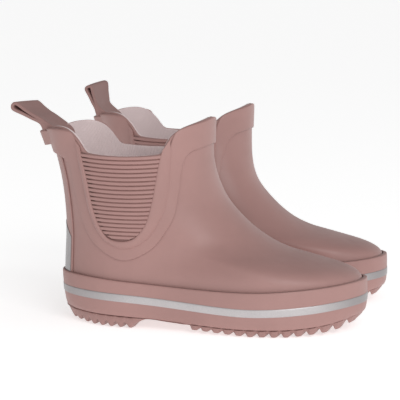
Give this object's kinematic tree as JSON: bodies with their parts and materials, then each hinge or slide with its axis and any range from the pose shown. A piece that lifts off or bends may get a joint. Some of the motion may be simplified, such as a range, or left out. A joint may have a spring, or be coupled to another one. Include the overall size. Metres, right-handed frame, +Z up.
{
  "type": "pair of child's rubber rain boots",
  "caption": "Pair of child's low rubber rain boots with ribbed side panels, a dipped collar, pull loops at the back, a reflective foxing stripe and a lugged sole.",
  "frame": {"origin": "middle of the pair's bounding box, on the ground under the lugs", "axes": "+X from heel to toe, +Y from the right boot to the left boot, +Z up"},
  "size_m": [0.2013, 0.1751, 0.1317],
  "materials": {
    "upper_rubber": "satin moulded natural rubber, dusty pink",
    "sole_rubber": "matt moulded rubber, dusty pink",
    "rib_rubber": "satin rubber with fine horizontal ribs",
    "strap_rubber": "matt rubberised strap",
    "filler_rubber": "plain rubber, hidden",
    "reflective_tape": "silver reflective film, fine glass-bead sheen",
    "lining_knit": "fine cotton knit, pale greyish pink",
    "footbed_foam": "foam under a knit cover",
    "board": "pressed fibre board"
  },
  "bodies": {
    "right_boot": {"right_outsole": "sole_rubber", "right_midsole_filler": "filler_rubber", "right_insole_board": "board", "right_foxing": "upper_rubber", "right_reflective_stripe": "reflective_tape", "right_vamp_shell": "upper_rubber", "right_leg_shell": "upper_rubber", "right_toe_puff": "filler_rubber", "right_heel_counter": "filler_rubber", "right_lining": "lining_knit", "right_gusset_lateral": "rib_rubber", "right_gusset_medial": "rib_rubber", "right_gusset_bead_lateral": "upper_rubber", "right_gusset_bead_medial": "upper_rubber", "right_collar_overlay_lateral": "upper_rubber", "right_collar_overlay_medial": "upper_rubber", "right_backstay": "upper_rubber", "right_heel_reflector": "reflective_tape", "right_loop_tab": "strap_rubber", "right_loop_anchor": "strap_rubber"},
    "right_loop": {"right_pull_loop": "strap_rubber"},
    "right_insole": {"right_footbed": "footbed_foam"},
    "left_boot": {"left_outsole": "sole_rubber", "left_midsole_filler": "filler_rubber", "left_insole_board": "board", "left_foxing": "upper_rubber", "left_reflective_stripe": "reflective_tape", "left_vamp_shell": "upper_rubber", "left_leg_shell": "upper_rubber", "left_toe_puff": "filler_rubber", "left_heel_counter": "filler_rubber", "left_lining": "lining_knit", "left_gusset_lateral": "rib_rubber", "left_gusset_medial": "rib_rubber", "left_gusset_bead_lateral": "upper_rubber", "left_gusset_bead_medial": "upper_rubber", "left_collar_overlay_lateral": "upper_rubber", "left_collar_overlay_medial": "upper_rubber", "left_backstay": "upper_rubber", "left_heel_reflector": "reflective_tape", "left_loop_tab": "strap_rubber", "left_loop_anchor": "strap_rubber"},
    "left_loop": {"left_pull_loop": "strap_rubber"},
    "left_insole": {"left_footbed": "footbed_foam"}
  },
  "joints": [
    {"name": "left_boot_lift", "type": "slide", "parent": "right_boot", "child": "left_boot", "axis": [0, 0, 1], "range_m": [0, 0.15]},
    {"name": "right_loop_flex", "type": "hinge", "parent": "right_boot", "child": "right_loop", "pos_m": [-0.0818, -0.053, 0.1124], "axis": [0, 1, 0], "range_deg": [-25, 85], "stiffness_Nm_per_rad": 0.02},
    {"name": "left_loop_flex", "type": "hinge", "parent": "left_boot", "child": "left_loop", "pos_m": [-0.0863, 0.0487, 0.1124], "axis": [-0.0349, 0.9994, 0], "range_deg": [-60, 50], "stiffness_Nm_per_rad": 0.02},
    {"name": "right_footbed_lift", "type": "hinge", "parent": "right_boot", "child": "right_insole", "pos_m": [0.0942, -0.045, 0.0143], "axis": [0, 1, 0], "range_deg": [0, 10]},
    {"name": "left_footbed_lift", "type": "hinge", "parent": "left_boot", "child": "left_insole", "pos_m": [0.0899, 0.0468, 0.0143], "axis": [-0.0349, 0.9994, 0], "range_deg": [0, 10]}
  ]
}
